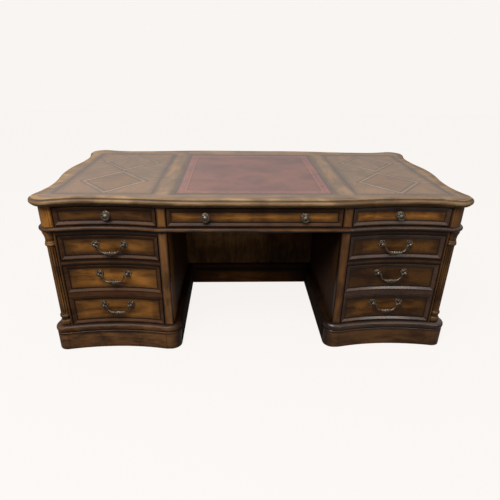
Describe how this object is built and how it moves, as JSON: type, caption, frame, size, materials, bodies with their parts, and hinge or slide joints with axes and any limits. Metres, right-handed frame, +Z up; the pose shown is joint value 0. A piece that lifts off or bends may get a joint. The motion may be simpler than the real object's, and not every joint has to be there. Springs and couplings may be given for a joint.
{
  "type": "executive desk",
  "caption": "Executive desk with a serpentine leather-inset parquetry top, frieze drawers, and drawer pedestals with fluted corner columns, moulded plinths and bail pulls.",
  "frame": {"origin": "on the floor under the middle of the desk's plan", "axes": "+X along the width to the user's right, -Y out of the drawer side, +Z up"},
  "size_m": [1.93, 1.024, 0.768],
  "materials": {
    "top_wood": "satin varnish",
    "case_wood": "satin varnish",
    "front_wood": "satin varnish",
    "plinth_wood": "satin varnish",
    "parquetry": "satin varnish",
    "inner_wood": "plain",
    "drawer_wood": "sealed",
    "leather": "waxed",
    "pull_metal": "antique dark",
    "steel": "zinc plated"
  },
  "bodies": {
    "case": {"top_board": "top_wood", "top_edge_moulding": "top_wood", "leather_inset": "leather", "parquetry_panels": "parquetry", "frieze_corner_posts": "case_wood", "frieze_stiles": "case_wood", "frieze_partitions": "inner_wood", "frieze_top_rail": "case_wood", "frieze_end_panels": "case_wood", "frieze_back_panel": "case_wood", "frieze_dust_board": "inner_wood", "frieze_drawer_guides": "inner_wood", "waist_moulding": "case_wood", "pedestal_outer_sides": "case_wood", "pedestal_inner_sides": "case_wood", "pedestal_back_panels": "case_wood", "pedestal_stiles": "case_wood", "pedestal_rails": "case_wood", "pedestal_corner_posts": "case_wood", "pedestal_columns": "case_wood", "pedestal_top_boards": "inner_wood", "pedestal_base_boards": "inner_wood", "plinth_skirts": "plinth_wood", "plinth_mouldings": "plinth_wood", "modesty_panel": "case_wood", "modesty_plinth": "plinth_wood", "slide_packers": "inner_wood", "slide_channels": "steel", "top_section_bolts": "steel"},
    "centre_drawer": {"centre_drawer_front": "front_wood", "centre_drawer_box": "drawer_wood", "centre_drawer_knobs": "pull_metal"},
    "left_frieze_drawer": {"left_frieze_drawer_front": "front_wood", "left_frieze_drawer_box": "drawer_wood", "left_frieze_drawer_knob": "pull_metal"},
    "left_box_drawer": {"left_box_drawer_front": "front_wood", "left_box_drawer_box": "drawer_wood", "left_box_drawer_slides": "steel", "left_box_drawer_rosettes": "pull_metal"},
    "left_file_drawer": {"left_file_drawer_front": "front_wood", "left_file_drawer_box": "drawer_wood", "left_file_drawer_slides": "steel", "left_file_drawer_rosettes": "pull_metal"},
    "left_box_drawer_bail": {"left_box_drawer_bail": "pull_metal"},
    "left_file_drawer_lower_bail": {"left_file_drawer_lower_bail": "pull_metal"},
    "left_file_drawer_upper_bail": {"left_file_drawer_upper_bail": "pull_metal"},
    "right_frieze_drawer": {"right_frieze_drawer_front": "front_wood", "right_frieze_drawer_box": "drawer_wood", "right_frieze_drawer_knob": "pull_metal"},
    "right_box_drawer": {"right_box_drawer_front": "front_wood", "right_box_drawer_box": "drawer_wood", "right_box_drawer_slides": "steel", "right_box_drawer_rosettes": "pull_metal"},
    "right_file_drawer": {"right_file_drawer_front": "front_wood", "right_file_drawer_box": "drawer_wood", "right_file_drawer_slides": "steel", "right_file_drawer_rosettes": "pull_metal"},
    "right_box_drawer_bail": {"right_box_drawer_bail": "pull_metal"},
    "right_file_drawer_lower_bail": {"right_file_drawer_lower_bail": "pull_metal"},
    "right_file_drawer_upper_bail": {"right_file_drawer_upper_bail": "pull_metal"}
  },
  "joints": [
    {"name": "centre_drawer_slide", "type": "slide", "parent": "case", "child": "centre_drawer", "axis": [0, -1, 0], "range_m": [0, 0.3]},
    {"name": "left_frieze_drawer_slide", "type": "slide", "parent": "case", "child": "left_frieze_drawer", "axis": [0, -1, 0], "range_m": [0, 0.3]},
    {"name": "left_box_drawer_slide", "type": "slide", "parent": "case", "child": "left_box_drawer", "axis": [0, -1, 0], "range_m": [0, 0.4]},
    {"name": "left_file_drawer_slide", "type": "slide", "parent": "case", "child": "left_file_drawer", "axis": [0, -1, 0], "range_m": [0, 0.4]},
    {"name": "left_box_drawer_bail_swing", "type": "hinge", "parent": "left_box_drawer", "child": "left_box_drawer_bail", "pos_m": [-0.648, -0.46636, 0.547], "axis": [-1, 0, 0], "range_deg": [0, 85]},
    {"name": "left_file_drawer_lower_bail_swing", "type": "hinge", "parent": "left_file_drawer", "child": "left_file_drawer_lower_bail", "pos_m": [-0.648, -0.46636, 0.234], "axis": [-1, 0, 0], "range_deg": [0, 85]},
    {"name": "left_file_drawer_upper_bail_swing", "type": "hinge", "parent": "left_file_drawer", "child": "left_file_drawer_upper_bail", "pos_m": [-0.648, -0.46636, 0.4], "axis": [-1, 0, 0], "range_deg": [0, 85]},
    {"name": "right_frieze_drawer_slide", "type": "slide", "parent": "case", "child": "right_frieze_drawer", "axis": [0, -1, 0], "range_m": [0, 0.3]},
    {"name": "right_box_drawer_slide", "type": "slide", "parent": "case", "child": "right_box_drawer", "axis": [0, -1, 0], "range_m": [0, 0.4]},
    {"name": "right_file_drawer_slide", "type": "slide", "parent": "case", "child": "right_file_drawer", "axis": [0, -1, 0], "range_m": [0, 0.4]},
    {"name": "right_box_drawer_bail_swing", "type": "hinge", "parent": "right_box_drawer", "child": "right_box_drawer_bail", "pos_m": [0.648, -0.46636, 0.547], "axis": [-1, 0, 0], "range_deg": [0, 85]},
    {"name": "right_file_drawer_lower_bail_swing", "type": "hinge", "parent": "right_file_drawer", "child": "right_file_drawer_lower_bail", "pos_m": [0.648, -0.46636, 0.234], "axis": [-1, 0, 0], "range_deg": [0, 85]},
    {"name": "right_file_drawer_upper_bail_swing", "type": "hinge", "parent": "right_file_drawer", "child": "right_file_drawer_upper_bail", "pos_m": [0.648, -0.46636, 0.4], "axis": [-1, 0, 0], "range_deg": [0, 85]}
  ]
}
